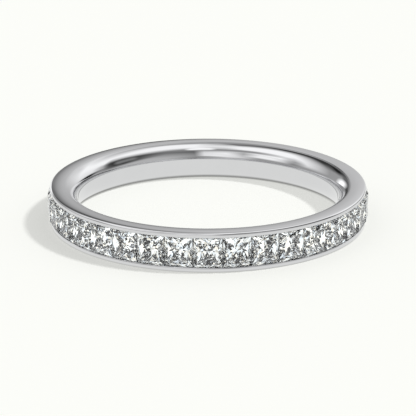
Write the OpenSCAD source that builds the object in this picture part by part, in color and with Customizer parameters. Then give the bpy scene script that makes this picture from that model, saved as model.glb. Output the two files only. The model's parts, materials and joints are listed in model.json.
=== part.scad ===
// Channel set band: a full row of square princess stones held between two rails.
// The ring lies on its side on the plane z = 0, its axis is z, and stone_01 faces
// the front, towards -y. The other stones follow towards +x.

/* [Finger hole] */
// Diameter at the middle of the bore, where it is narrowest (finger size 52)
bore_d = 16.6; // [15:0.1:18.6]
// Length of the straight land in the middle of the bore
bore_land = 0.2; // [0.1:0.02:0.4]
// How far the comfort-fit curve has drawn back from the land where a side face begins
comfort_flare = 0.82; // [0.7:0.01:0.95]
// Rounding where the comfort-fit curve runs into a side face
bore_edge_r = 0.3; // [0.2:0.01:0.4]

/* [Band] */
// Width of the band along the finger
band_w = 2.43; // [2.3:0.01:2.9]
// Metal from the land of the bore to the crests of the rails
wall_t = 1.76; // [1.6:0.01:2.1]
// How far a rail falls back, on the radius, from its crest to its lip and its side face
rail_fall = 0.03; // [0.02:0.005:0.04]
// Height of the crest of a rail above its lip
crest_h = 0.1; // [0.06:0.01:0.12]
// Rounding of the crest
crest_r = 0.28; // [0.2:0.01:0.34]
// Rounding between a rail and its side face
rail_edge_r = 0.14; // [0.08:0.01:0.16]

/* [Stones] */
// Number of stones round the band
stone_n = 36; // [32:1:40]
// Gap between two neighbouring stones, where their girdles are closest
stone_gap = 0.02; // [0.01:0.005:0.04]
// Size of a stone along the finger
stone_len = 1.88; // [1.7:0.01:1.94]
// How far the tables stand above the crests of the rails
table_rise = 0.12; // [0.06:0.01:0.14]
// Height of the crown, from the girdle to the table
crown_h = 0.26; // [0.25:0.01:0.3]
// Thickness of the girdle
girdle_h = 0.04; // [0.03:0.01:0.06]
// Depth of the pavilion, from the girdle to the culet
pavilion_h = 0.93; // [0.8:0.01:1.05]
// Size of the table, as a share of the size of the stone
table_share = 0.7; // [0.6:0.01:0.8]

/* [Channel] */
// Clearance between the stones and the metal round them
seat_gap = 0.02; // [0.015:0.005:0.03]
// How far a lip reaches over the edge of the stones
lip_over = 0.025; // [0.015:0.005:0.035]
// Free depth between the culets and the floor of the channel
culet_gap = 0.05; // [0.03:0.01:0.08]
// Half width of the channel's flat floor
floor_half = 0.12; // [0.08:0.01:0.2]

/* [Hidden] */
// Sides of the turned metal, and steps of each arc in its section
metal_fn = 360;
arc_steps = 8;
// The most of a straight side that the rounding at one of its ends takes up
round_share = 0.62;

// Radii from the ring's axis
bore_r = bore_d / 2;
rail_r = bore_r + wall_t;
lip_r = rail_r - rail_fall;
table_r = rail_r + table_rise;
girdle_top_r = table_r - crown_h;
girdle_low_r = girdle_top_r - girdle_h;
culet_r = girdle_low_r - pavilion_h;

// Round the ring the stones are as wide as their share of the girdle circle allows
pitch = 360 / stone_n;
stone_half = girdle_low_r * tan(pitch / 2) - stone_gap / 2 / cos(pitch / 2);
stone_half_len = stone_len / 2;
table_half = stone_half * table_share;

// Middle point of each crown side, as shares of the way from table to girdle:
// how far out it lies, and how far down
crown_mid = [0.53, 0.42];

// Chevron points down the middle of each pavilion side, as shares:
// distance from the stone's axis, depth below the girdle
chevrons = [
    [0.70, 0.42],
    [0.45, 0.68],
    [0.22, 0.86],
];

function stone_name(i) = str(i < 10 ? "stone_0" : "stone_", i);

// Points of an arc about a centre
function arc(centre, r, from, to) =
    [for (i = [0 : arc_steps])
        let (a = from + (to - from) * i / arc_steps)
        centre + r * [cos(a), sin(a)]];

// Points that round off the corner b between a and c with radius r, or with less where
// the rounding would take more than its share of the way to a or to c
function round_corner(a, b, c, r) =
    let (
        u = (a - b) / norm(a - b),
        v = (c - b) / norm(c - b),
        half = acos(u * v) / 2,
        reach = min(r / tan(half), round_share * norm(a - b), round_share * norm(c - b)),
        fit_r = reach * tan(half),
        centre = b + (u + v) / norm(u + v) * fit_r / sin(half),
        from = b + u * reach - centre,
        to = b + v * reach - centre,
        start = atan2(from.y, from.x),
        turn = atan2(to.y, to.x) - start
    )
    arc(centre, fit_r, start, start + (turn > 180 ? turn - 360 : turn < -180 ? turn + 360 : turn));

// Distance from the ring's axis to a stone's corner, where its middle is at distance r
function corner_r(r) = norm([r, stone_half]);

// Half of the band's section, as [radius, height above the middle of the band],
// from the bore over the side face and the rail down to the floor of the channel
function half_section() =
    let (
        side = band_w / 2,
        land = [bore_r, bore_land / 2],
        face_in = bore_r + comfort_flare,
        edge = [face_in, side - bore_edge_r],
        // The comfort curve leaves the land upright and touches the rounding at its end:
        // its centre, level with the land, lies comfort_r - bore_edge_r from the rounding's
        rise = edge.y - land.y,
        comfort_r = (rise * rise + comfort_flare * comfort_flare - bore_edge_r * bore_edge_r)
            / (2 * (comfort_flare - bore_edge_r)),
        meet = atan2(rise, comfort_r - comfort_flare),
        lip_z = stone_half_len - lip_over,
        groove_z = stone_half_len + seat_gap,
        crown_slope = crown_h / (stone_half_len * (1 - table_share)),
        lip = [lip_r, lip_z],
        crest = [rail_r, lip_z + min(crest_h, (side - lip_z) / 3)],
        rail_edge = [lip_r, side]
    )
    concat(
        arc(land + [comfort_r, 0], comfort_r, 180, 180 - meet),
        arc(edge, bore_edge_r, 180 - meet, 90),
        round_corner([face_in, side], rail_edge, crest, rail_edge_r),
        round_corner(rail_edge, crest, lip, crest_r),
        [
            lip,
            [corner_r(girdle_top_r + lip_over * crown_slope) + seat_gap, lip_z],
            [corner_r(girdle_top_r) + seat_gap, groove_z],
            [girdle_low_r - seat_gap, groove_z],
        ],
        [for (c = chevrons)
            [girdle_low_r - c[1] * pavilion_h - seat_gap, c[0] * stone_half_len + seat_gap]],
        [[culet_r - culet_gap, floor_half]]
    );

// The same section below the middle of the band, in the opposite order
function mirrored(points) =
    [for (i = [len(points) - 1 : -1 : 0]) [points[i].x, -points[i].y]];

// The band is one soldered and polished piece of metal
module band() {
    section = half_section();
    color("gainsboro")
        translate([0, 0, band_w / 2])
            rotate_extrude($fn = metal_fn)
                polygon(concat(section, mirrored(section)));
}

// Points of the stone that repeat on its four sides, as for a square stone: [distance out,
// sideways, height], with the height measured from the ring's axis
function side_points() =
    let (
        out = table_half + crown_mid[0] * (stone_half - table_half),
        down = table_r - crown_mid[1] * crown_h
    )
    concat(
        [
            [table_half, -table_half, table_r],
            [out, 0, down],
            [stone_half, -stone_half, girdle_top_r],
            [stone_half, -stone_half, girdle_low_r],
        ],
        [for (c = chevrons) [c[0] * stone_half, 0, girdle_low_r - c[1] * pavilion_h]]
    );

// Such a point on side k, with y along the finger
function on_side(p, k) = [
    p.x * cos(90 * k) - p.y * sin(90 * k),
    (p.x * sin(90 * k) + p.y * cos(90 * k)) * stone_half_len / stone_half,
    p.z,
];

// A princess cut: flat table, crown with a bent side between its corner ridges,
// thin girdle, and a pavilion of chevron facets that run from the corners to the culet
module princess_cut() {
    side = side_points();
    per_side = len(side);
    table = 0;
    mid = 1;
    top = 2;
    low = 3;
    chevron = 4;
    last = per_side - 1;
    culet = 4 * per_side;
    points = concat(
        [for (k = [0 : 3]) for (p = side) on_side(p, k)],
        [[0, 0, culet_r]]
    );
    faces = concat(
        [[for (k = [3 : -1 : 0]) k * per_side + table]],
        [for (k = [0 : 3])
            let (a = k * per_side, b = (k + 1) % 4 * per_side)
            each [
                [b + table, a + mid, a + table],
                [a + mid, a + top, a + table],
                [b + top, a + mid, b + table],
                [a + mid, b + top, a + top],
                [a + top, b + top, b + low, a + low],
                [b + low, a + chevron, a + low],
                [a + last, culet, a + low],
                [culet, a + last, b + low],
            ]],
        [for (k = [0 : 3], j = [chevron + 1 : last])
            let (a = k * per_side, b = (k + 1) % 4 * per_side)
            each [
                [a + j - 1, a + j, a + low],
                [a + j, a + j - 1, b + low],
            ]]
    );
    polyhedron(points, faces);
}

// Stone i, with its table outwards, at its place in the row
module stone(i) {
    color("aliceblue")
        translate([0, 0, band_w / 2])
            rotate([90, 0, (i - 1) * pitch])
                princess_cut();
}

band();
for (i = [1 : stone_n])
    stone(i);
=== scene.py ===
import json
import math

import bpy
import numpy as np
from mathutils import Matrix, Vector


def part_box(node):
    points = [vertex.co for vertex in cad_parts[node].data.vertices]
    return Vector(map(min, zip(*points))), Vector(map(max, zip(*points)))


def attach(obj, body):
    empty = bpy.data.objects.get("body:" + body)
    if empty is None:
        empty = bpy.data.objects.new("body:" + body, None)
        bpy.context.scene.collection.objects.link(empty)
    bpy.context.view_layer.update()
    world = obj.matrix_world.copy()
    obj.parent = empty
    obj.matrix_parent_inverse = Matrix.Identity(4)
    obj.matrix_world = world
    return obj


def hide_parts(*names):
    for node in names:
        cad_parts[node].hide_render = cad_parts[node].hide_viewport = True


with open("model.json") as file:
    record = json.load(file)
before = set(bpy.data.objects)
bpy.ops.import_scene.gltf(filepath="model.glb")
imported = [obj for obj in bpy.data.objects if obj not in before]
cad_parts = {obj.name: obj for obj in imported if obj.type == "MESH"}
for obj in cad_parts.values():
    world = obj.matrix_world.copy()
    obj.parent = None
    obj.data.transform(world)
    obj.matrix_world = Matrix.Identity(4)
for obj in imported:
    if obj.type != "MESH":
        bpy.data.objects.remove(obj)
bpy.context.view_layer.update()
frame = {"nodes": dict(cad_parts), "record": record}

scene = bpy.context.scene
mm = 0.001
mounts = {mount["name"]: mount for mount in frame["record"]["mounts"]}
stoneNames = sorted(name for name in frame["nodes"] if name.startswith("stone_"))


class Wire:
    # wraps an output socket of a node tree, so that arithmetic on it adds Math nodes

    def __init__(self, socket):
        self.socket = socket
        self.tree = socket.id_data

    @staticmethod
    def make(tree, kind, settings, inputs, output=0):
        # any node: its settings first, then its inputs' values or links. A ramp's stops are settings
        # too, each a position and a grey.
        node = tree.nodes.new(kind)
        for key, value in settings.items():
            if key == "stops":
                ramp = node.color_ramp.elements
                while len(ramp) < len(value):
                    ramp.new(1.0)
                for element, (position, grey) in zip(ramp, value):
                    element.position = position
                    element.color = (grey, grey, grey, 1)
            else:
                setattr(node, key, value)
        for key, value in inputs.items():
            if isinstance(value, Wire):
                tree.links.new(value.socket, node.inputs[key])
            else:
                node.inputs[key].default_value = value
        return Wire(node.outputs[output])

    def outlets(self):
        # every output of the node that this one belongs to, by name
        return {socket.name: Wire(socket) for socket in self.socket.node.outputs}

    def maths(self, operation, *values):
        return Wire.make(self.tree, "ShaderNodeMath", {"operation": operation}, dict(enumerate(values)))

    def __add__(self, other):
        return self.maths("ADD", self, other)

    def __radd__(self, other):
        return self.maths("ADD", other, self)

    def __sub__(self, other):
        return self.maths("SUBTRACT", self, other)

    def __rsub__(self, other):
        return self.maths("SUBTRACT", other, self)

    def __mul__(self, other):
        return self.maths("MULTIPLY", self, other)

    def __rmul__(self, other):
        return self.maths("MULTIPLY", other, self)

    def __truediv__(self, other):
        return self.maths("DIVIDE", self, other)

    def __abs__(self):
        return self.maths("ABSOLUTE", self)

    def clamped(self):
        return Wire.make(self.tree, "ShaderNodeClamp", {}, {"Value": self})


def mixColour(factor, first, second):
    # first where factor is 0, second where it is 1; inputs 6 and 7 and output 2 are the colours
    settings = {"data_type": "RGBA"}
    return Wire.make(factor.tree, "ShaderNodeMix", settings, {0: factor, 6: first, 7: second}, 2)


def splitVector(vector):
    parts = Wire.make(vector.tree, "ShaderNodeSeparateXYZ", {}, {"Vector": vector}).outlets()
    return parts["X"], parts["Y"], parts["Z"]


def mixShader(factor, first, second):
    return Wire.make(factor.tree, "ShaderNodeMixShader", {}, {0: factor, 1: first, 2: second})


def newMaterial(name):
    material = bpy.data.materials.new(name)
    material.use_nodes = True
    material.node_tree.nodes.clear()
    return material, material.node_tree


def finishTree(tree, kind, shader):
    # the tree's output node, fed by the shader
    output = tree.nodes.new(kind)
    tree.links.new(shader.socket, output.inputs["Surface"])


# Camera: at the photo's angle above the floor, aimed at the ring's axis
cameraPlan = {
    "lens": 153.43,
    "sensor": 36.0,
    "elevation": 18.40,     # degrees above the floor
    "distance": 113.6 * mm,
    "aimHeight": 0.681 * mm,
    "nearest": 5 * mm,
    "farthest": 10.0,
}


def placeCamera(plan):
    # on the front side, as far from the aim as the distance, and turned down by the elevation
    data = bpy.data.cameras.new("camera")
    data.lens = plan["lens"]
    data.sensor_width = plan["sensor"]
    data.clip_start = plan["nearest"]
    data.clip_end = plan["farthest"]
    eye = bpy.data.objects.new("camera", data)
    tilt = math.radians(plan["elevation"])
    reach = plan["distance"]
    eye.location = (0, -reach * math.cos(tilt), plan["aimHeight"] + reach * math.sin(tilt))
    eye.rotation_euler = (math.pi / 2 - tilt, 0, 0)
    scene.collection.objects.link(eye)
    scene.camera = eye


placeCamera(cameraPlan)
print("camera placed")


# Band: the metal, turned about the z axis. Sizes as the CAD band has them. Heights are measured from
# the middle of the band, radii from its axis.
band = {
    "boreRadius": mounts["finger_bore"]["dims"]["r_mm"] * mm,
    "width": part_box("band")[1][2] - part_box("band")[0][2],
    "wall": 1.76 * mm,          # metal from the middle of the bore to the crests of the rails
    "landHeight": mounts["finger_bore"]["dims"]["length_mm"] / 2 * mm,
    "flare": 0.82 * mm,         # how far the comfort curve has drawn back where a side face begins
    "boreEdge": 0.3 * mm,       # rounding between comfort curve and side face
    "railEdge": 0.14 * mm,      # rounding between side face and rail
    "railFall": 0.03 * mm,      # how far a rail falls back at its edges
    "crestHeight": 0.1 * mm,    # from the lip's edge to the widest line of the rail
    "crestRadius": 0.28 * mm,
    "lipHeight": 0.915 * mm,    # half the opening between the lips
    "lipEdge": 0.03 * mm,       # rounding of the lip's outer edge
    "lipInner": 10.0 * mm,      # where the underside of the lip begins
    "grooveHeight": 0.96 * mm,  # half the width of the channel beside the girdles
    "grooveTop": 9.977 * mm,
    "grooveLow": 9.86 * mm,
    "floorRadius": 8.90 * mm,   # floor of the channel, under the culets
    "floorHalf": 0.12 * mm,
    "innerEdge": 0.006 * mm,    # rounding of the edges inside the channel
    "faceLean": 9,              # degrees that a side face's shading falls off towards its edges
    "turns": 384,
    "degreesPerStep": 4.5,
}


def roundedLoop(corners, radii, leans, degreesPerStep):
    # a closed outline, run clockwise, whose corners become arcs: the arc's normal turns evenly from
    # the normal of the side before to that of the side after, and its points lie one radius out
    # from the arc's centre along it; concave corners have their centre on the other side. A lean
    # pair (degrees) turns the shading normal at the arc's first and last point a little further.
    corners = np.array(corners)
    points, normals = [], []
    count = len(corners)
    for i in range(count):
        before = corners[i] - corners[i - 1]
        after = corners[(i + 1) % count] - corners[i]
        before /= np.linalg.norm(before)
        after /= np.linalg.norm(after)
        first = math.atan2(before[0], -before[1])
        turn = math.atan2(before[0] * after[1] - before[1] * after[0], before @ after)
        steps = max(2, math.ceil(abs(math.degrees(turn)) / degreesPerStep))
        share = np.linspace(0, 1, steps + 1)
        angles = first + turn * share
        normal = np.stack([np.cos(angles), np.sin(angles)], 1)
        side = -math.copysign(1, turn)
        start = corners[i] - before * radii[i] * math.tan(abs(turn) / 2)
        centre = start - side * radii[i] * normal[0]
        points.append(centre + side * radii[i] * normal)
        shaded = angles + np.radians(leans[i][0] * (1 - share) + leans[i][1] * share)
        normals.append(np.stack([np.cos(shaded), np.sin(shaded)], 1))
    return np.concatenate(points), np.concatenate(normals)


def bandSection(plan):
    # upper half of the section as corners (radius, height) with their roundings and leans: the
    # comfort arc, the side face, the domed rail, its lip and the channel. The comfort arc leaves the
    # land upright and touches the edge's arc: (comfort - edge)^2 = rise^2 + (comfort - flare)^2, both
    # centres being known, and it leans by atan(rise / (comfort - flare)) there. The lower half is
    # the same, mirrored and run the other way.
    side = plan["width"] / 2
    flare = plan["flare"]
    rounding = plan["boreEdge"]
    rise = side - rounding - plan["landHeight"]
    comfort = (rise ** 2 + flare ** 2 - rounding ** 2) / (2 * (flare - rounding))
    meet = math.atan2(rise, comfort - flare)
    reach = comfort * math.tan(meet / 2)
    first = np.array([plan["boreRadius"], plan["landHeight"] + reach])
    second = first + np.array([math.sin(meet), math.cos(meet)]) * (
        reach + rounding * math.tan((math.pi / 2 - meet) / 2))
    rail = plan["boreRadius"] + plan["wall"]
    low = plan["lipHeight"]
    edge = plan["innerEdge"]
    lean = plan["faceLean"]
    half = [
        (*first, comfort, 0, 0),
        (*second, rounding, 0, lean),
        (rail - plan["railFall"], side, plan["railEdge"], -lean, 0),
        (rail, low + plan["crestHeight"], plan["crestRadius"], 0, 0),
        (rail - plan["railFall"], low, plan["lipEdge"], 0, 0),
        (plan["lipInner"], low, edge, 0, 0),
        (plan["grooveTop"], plan["grooveHeight"], edge, 0, 0),
        (plan["grooveLow"], plan["grooveHeight"], edge, 0, 0),
        (plan["floorRadius"], plan["floorHalf"], edge, 0, 0),
    ]
    whole = half + [(r, -z, radius, -after, -before) for r, z, radius, before, after in reversed(half)]
    return roundedLoop([row[:2] for row in whole], [row[2] for row in whole],
                       [row[3:] for row in whole], plan["degreesPerStep"])


def turnedMesh(name, points, normals, turns):
    # each point (r, z) of the outline goes round the axis: (r sin t, -r cos t, z) for even steps of t
    angle = 2 * np.pi * np.arange(turns) / turns
    sin, cos = np.sin(angle)[:, None], np.cos(angle)[:, None]
    count = len(points)

    def turned(values):
        flat = np.broadcast_to(values[:, 1], (turns, count))
        return np.stack([values[:, 0] * sin, -values[:, 0] * cos, flat], 2).reshape(-1, 3)

    ring, step = np.meshgrid(np.arange(turns), np.arange(count), indexing="ij")
    nextRing, nextStep = (ring + 1) % turns, (step + 1) % count
    quads = np.stack([ring * count + step, ring * count + nextStep,
                      nextRing * count + nextStep, nextRing * count + step], 2).reshape(-1, 4)
    mesh = bpy.data.meshes.new(name)
    mesh.vertices.add(turns * count)
    mesh.vertices.foreach_set("co", turned(points).ravel())
    mesh.loops.add(quads.size)
    mesh.loops.foreach_set("vertex_index", quads.ravel())
    mesh.polygons.add(len(quads))
    mesh.polygons.foreach_set("loop_start", np.arange(0, quads.size, 4))
    mesh.update(calc_edges=True)
    mesh.shade_smooth()
    mesh.normals_split_custom_set_from_vertices(turned(normals))
    piece = bpy.data.objects.new(name, mesh)
    scene.collection.objects.link(piece)
    return piece


sectionPoints, sectionNormals = bandSection(band)
sectionPoints = sectionPoints + [0, band["width"] / 2]
bandPiece = turnedMesh("polished_band", sectionPoints, sectionNormals, band["turns"])
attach(bandPiece, "root")
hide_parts("band")
print("band turned:", len(bandPiece.data.polygons), "faces")


# Finish of the metal: mirror polish with the faint unevenness that a buffing wheel leaves
metal = {
    "colour": (0.748, 0.750, 0.762, 1),
    "worn": (0.720, 0.722, 0.735, 1),
    "roughness": (0.02, 0.05),
    "cloudScale": 900.0,    # clouds of unevenness about 1 mm long
    "cloudDetail": 3.0,
}


def polishedMetal(plan):
    # colour and roughness both follow one noise
    material, tree = newMaterial("polished_white_metal")
    place = Wire.make(tree, "ShaderNodeTexCoord", {}, {}, "Object")
    cloud = Wire.make(tree, "ShaderNodeTexNoise", {}, {
        "Vector": place,
        "Scale": plan["cloudScale"],
        "Detail": plan["cloudDetail"],
    })
    low, high = plan["roughness"]
    finishTree(tree, "ShaderNodeOutputMaterial", Wire.make(tree, "ShaderNodeBsdfPrincipled", {}, {
        "Base Color": mixColour(cloud, plan["colour"], plan["worn"]),
        "Metallic": 1.0,
        "Roughness": low + cloud * (high - low),
    }))
    return material


bandPiece.data.materials.append(polishedMetal(metal))
print("metal polished")


# Stones: clear diamond, every facet polished flat. Beside a neighbour and under the lips their colour
# is darkened: painted shade where the stones meet and where the metal of the lips hangs over them.
diamond = {
    "ior": 2.417,
    "colour": (1, 1, 1, 1),
    "shine": (0.45, 0.45, 0.46, 1),     # of the facets' outer mirror
    # painted shade, beside a neighbour and under the lips
    "paintedShade": (0.10, 0.10, 0.11, 1),
    "jointShadeWidth": 0.075 * mm,           # how far the painted shade reaches from a joint
    "lipShade": 0.06 * mm,              # and from a lip
    "roughness": 0.0,
}


def cutDiamond(plan):
    # the joints lie half a pitch to either side of each stone's middle: their distance is the
    # radius times the angle that is left to the joint. The lips' distance is what the height lacks
    # to half the opening between them. The nearer of the two sets the painted shade, which darkens
    # the colour where the stones meet and under the lips.
    material, tree = newMaterial("cut_diamond")
    x, y, z = splitVector(Wire.make(tree, "ShaderNodeTexCoord", {}, {}, "Object"))
    half = math.pi / len(stoneNames)
    angle = x.maths("ARCTAN2", x, 0 - y)
    left = half - abs(angle.maths("WRAP", angle, half, -half))
    radius = x.maths("SQRT", x * x + y * y)
    # painted shade beside a neighbour
    paintedShade = (1 - left * radius / plan["jointShadeWidth"]).clamped()
    inside = band["lipHeight"] - abs(z - band["width"] / 2)
    # painted shade under a lip
    under = (1 - inside / plan["lipShade"]).clamped()
    shade = paintedShade.maths("MAXIMUM", paintedShade, under)
    finishTree(tree, "ShaderNodeOutputMaterial", Wire.make(tree, "ShaderNodeBsdfPrincipled", {}, {
        "Base Color": mixColour(shade, plan["colour"], plan["paintedShade"]),
        "Roughness": plan["roughness"],
        "IOR": plan["ior"],
        "Specular Tint": plan["shine"],
        "Transmission Weight": 1.0,
    }))
    return material


diamondMaterial = cutDiamond(diamond)
for name in stoneNames:
    for slot in frame["nodes"][name].material_slots:
        slot.material = diamondMaterial
print("stones dressed:", len(stoneNames))


# Floor: plain and pale, with painted shade at the foot of the ring. Reflections show it without
# the ring's shadow, and rays that come out of a stone pass through it.
floor = {
    "radius": 0.6,
    "sides": 96,
    "drop": 0.002 * mm,         # under the ring, so that the two don't share a plane
    "colour": (0.50, 0.503, 0.484, 1),
    "glow": (0.465, 0.469, 0.450, 1),   # light of its own, so that shade on it stays pale
    "footMiddle": 9.41 * mm,    # the painted shade at the foot is a ring about this circle
    "footHalf": 0.32 * mm,      # this wide to either side
    "footShade": 0.36 * mm,     # and its dark takes this long to clear
    # painted shade at the foot: a darker colour and less glow there
    "footShadeColour": (0.25, 0.25, 0.24, 1),
    "footShadeGlow": (0.12, 0.12, 0.115, 1),
    "mirrored": (0.88, 0.885, 0.87, 1),
    # painted shade at the foot, as reflections show it
    "mirroredFootShade": (0.10, 0.10, 0.095, 1),
}


def floorMaterial(plan):
    # how clear the floor is of the painted shade at the foot grows evenly with the distance from the foot
    material, tree = newMaterial("pale_floor")
    place = Wire.make(tree, "ShaderNodeTexCoord", {}, {}, "Object")
    away = Wire.make(tree, "ShaderNodeVectorMath", {"operation": "LENGTH"}, {0: place}, "Value")
    gap = abs(away - plan["footMiddle"]) - plan["footHalf"]
    clear = (gap / plan["footShade"]).clamped()
    cloth = Wire.make(tree, "ShaderNodeBsdfPrincipled", {}, {
        "Base Color": mixColour(clear, plan["footShadeColour"], plan["colour"]),
        "Roughness": 1.0,
        "Specular IOR Level": 0.0,
        "Emission Color": mixColour(clear, plan["footShadeGlow"], plan["glow"]),
        "Emission Strength": 1.0,
    })
    mirrored = Wire.make(tree, "ShaderNodeEmission", {}, {
        "Color": mixColour(clear, plan["mirroredFootShade"], plan["mirrored"]),
        "Strength": 1.0,
    })
    path = Wire.make(tree, "ShaderNodeLightPath", {}, {}).outlets()
    finishTree(tree, "ShaderNodeOutputMaterial", mixShader(path["Is Glossy Ray"], cloth, mirrored))
    return material


def layFloor(plan):
    # a disc of one face, whose corners are even steps round a circle
    angle = 2 * np.pi * np.arange(plan["sides"]) / plan["sides"]
    points = np.stack([np.cos(angle), np.sin(angle), 0 * angle], 1) * plan["radius"]
    points[:, 2] = -plan["drop"]
    mesh = bpy.data.meshes.new("floor")
    mesh.from_pydata(points.tolist(), [], [list(range(plan["sides"]))])
    mesh.materials.append(floorMaterial(plan))
    piece = bpy.data.objects.new("floor", mesh)
    scene.collection.objects.link(piece)
    piece.visible_transmission = False


layFloor(floor)
print("floor laid")


# Studio: soft panels and dark flags, seen only in reflections. The photo doesn't show them: a fit to
# its reflections in the metal found them, and they were rounded afterwards. Azimuth 0 is towards the
# camera, 90 to the right. Each row: azimuth, half width and softness of its ends, lowest and highest
# elevation and softness of those, all in degrees, and brightness. A later row covers an earlier one.
# Their frame is tilted, so that its pole leans away from the camera.
studio = {
    "room": 0.405,
    "tilt": 24,
    "panels": {
        "rightSide": (76, 83, 40, 22, 110, 3, 1.22),
        "leftHighFlag": (-85, 54, 5, 48, 79, 15, 0.06),
        "leftWall": (-54, 48, 46, 16, 69, 13, 1.25),
        "lowBand": (10, 77, 20, 2, 18, 7, 1.16),
        "frontGlow": (11, 37, 40, -16, 5, 8, 1.4),
        "frontLowShade": (20, 28, 20, -60, -8, 3, 0.3),
        "rightFlag": (51, 44, 8, -60, 42, 20, 0.02),
        "rightGray": (112, 112, 58, -35, 22, 40, 0.58),
        "backLeftHighFlag": (-154, 20, 15, 42, 64, 7, 0.02),
        "rightMidFlag": (75, 23, 35, 9, 38, 9, 0.02),
        "frontGray": (-15, 45, 40, 25, 41, 7, 0.36),
        "backFlag": (-166, 14, 5, -10, 42, 15, 0.08),
        "backLeftStrip": (-154, 9, 10, 10, 35, 6, 1.4),
        "topFlag": (115, 45, 60, 66, 110, 40, 0.1),
        "backHighPanel": (162, 29, 12, 42, 56, 22, 0.78),
        "frontSpot": (6, 11, 5, 34, 45, 5, 1.3),
        "backGray": (-178, 3, 25, 28, 44, 6, 0.6),
        "frontLeftFlag": (-29, 2, 25, -1, 28, 14, 0.1),
        "leftFlag": (-77, 12, 15, 18, 29, 35, 0.02),
        "backLeftHighPanel": (-156, 7, 25, 52, 70, 20, 1),
        "rightDim": (72, 12, 5, 18, 32, 10, 0.25),
        "backRightFlag": (130, 22, 20, 18, 25, 3, 0.02),
        "backHighGray": (-175, 25, 30, 48, 45, 16, 0.5),
        "topGray": (40, 60, 10, 78, 90, 10, 0.4),
        "frontHighGray": (-10, 10, 10, 44, 50, 3, 0.7),
    },
    "fullAt": 0.5,          # how far inside its edge a row is at full brightness, over its softness
    "backdrop": (0.965, 0.973, 0.930, 1),
    "sky": 0.50,            # even light that the floor gets from all round
    "lamps": {              # what the stones look into: small lamps and dark gaps, all round
        "scale": 6.0,
        "stops": ((0.0, 0.01), (0.18, 0.02), (0.23, 0.90), (1.0, 1.29)),
        "sides": 0.75,      # how much brighter they are at either side
        "cool": (0.82, 0.92, 1.0, 1),
        "warm": (1.0, 0.955, 0.82, 1),
    },
}


def background(tree, strength, colour=(1, 1, 1, 1)):
    return Wire.make(tree, "ShaderNodeBackground", {}, {"Color": colour, "Strength": strength})


def panelLight(plan, ray):
    # brightness of the direction ray: from row to row the light so far is mixed with the row's own,
    # by how far the direction lies inside it. That is measured across and upwards in units of the
    # row's softness, and the length of both together rounds the row's corners.
    turned = Wire.make(ray.tree, "ShaderNodeVectorRotate", {"rotation_type": "X_AXIS"},
                       {"Vector": ray, "Angle": math.radians(plan["tilt"])})
    x, y, z = splitVector(turned)
    azimuth = x.maths("ARCTAN2", x, 0 - y) * math.degrees(1)
    elevation = z.maths("ARCSINE", z) * math.degrees(1)
    light = plan["room"]
    for centre, half, softAcross, low, high, softUp, value in plan["panels"].values():
        away = azimuth.maths("WRAP", azimuth - centre, 180.0, -180.0)
        across = (abs(away) - half) / softAcross + 1
        upright = (abs(elevation - (high + low) / 2) - (high - low) / 2) / softUp + 1
        across = across.maths("MAXIMUM", across, 0.0)
        upright = upright.maths("MAXIMUM", upright, 0.0)
        outside = across.maths("SQRT", across * across + upright * upright)
        mask = (1 + plan["fullAt"] - outside).clamped()
        light = light + mask * (value - light)
    return light


def lampLight(lamps, ray):
    # cells all round: a cell's first random number sets its strength by the stops, the second its
    # tint. The strength grows with the square of the direction's sideways part.
    cell = Wire.make(ray.tree, "ShaderNodeTexVoronoi", {}, {"Vector": ray, "Scale": lamps["scale"]}, "Color")
    chance = Wire.make(ray.tree, "ShaderNodeSeparateColor", {}, {"Color": cell}).outlets()
    power = Wire.make(ray.tree, "ShaderNodeValToRGB", {"stops": lamps["stops"]}, {"Fac": chance["Red"]})
    across = splitVector(ray)[0]
    power = power * (1 + across * across * lamps["sides"])
    return background(ray.tree, power, mixColour(chance["Green"], lamps["cool"], lamps["warm"]))


def studioWorld(plan):
    # reflections get the panels, rays out of a stone the lamps, the floor an even sky, and the
    # camera's rays the backdrop
    world = bpy.data.worlds.new("studio")
    world.use_nodes = True
    scene.world = world
    tree = world.node_tree
    tree.nodes.clear()
    ray = Wire.make(tree, "ShaderNodeTexCoord", {}, {}, "Generated")
    path = Wire.make(tree, "ShaderNodeLightPath", {}, {}).outlets()
    seen = background(tree, panelLight(plan, ray))
    seen = mixShader(path["Is Diffuse Ray"], seen, background(tree, plan["sky"]))
    seen = mixShader(path["Is Transmission Ray"], seen, lampLight(plan["lamps"], ray))
    seen = mixShader(path["Is Camera Ray"], seen, background(tree, 1.0, plan["backdrop"]))
    finishTree(tree, "ShaderNodeOutputWorld", seen)


studioWorld(studio)


# Key light from the right, a sun that leaves one soft shadow on the floor. Mirror and clear rays don't
# meet it, so it doesn't show in the polished metal or through the stones.
key = {
    "azimuth": 90,
    "elevation": 54,
    "strength": 1.94,
    "size": 7,      # degrees that it measures across
}


def placeLight(name, plan):
    # a sun, turned from straight down by what its elevation lacks to 90 degrees
    data = bpy.data.lights.new(name, "SUN")
    data.energy = plan["strength"]
    data.angle = math.radians(plan["size"])
    lamp = bpy.data.objects.new(name, data)
    lamp.rotation_euler = (0, math.radians(90 - plan["elevation"]), math.radians(plan["azimuth"] - 90))
    lamp.visible_glossy = False
    lamp.visible_transmission = False
    scene.collection.objects.link(lamp)


placeLight("key", key)

# Bounces: enough for the light's way through a stone and round the bore
bounces = {
    "most": 24,
    "mirror": 12,
    "clear": 20,
}
scene.view_settings.view_transform = "Standard"
scene.cycles.caustics_reflective = True
scene.cycles.caustics_refractive = False
scene.cycles.max_bounces = bounces["most"]
scene.cycles.glossy_bounces = bounces["mirror"]
scene.cycles.transmission_bounces = bounces["clear"]
scene.cycles.use_denoising = True
print("studio lit")
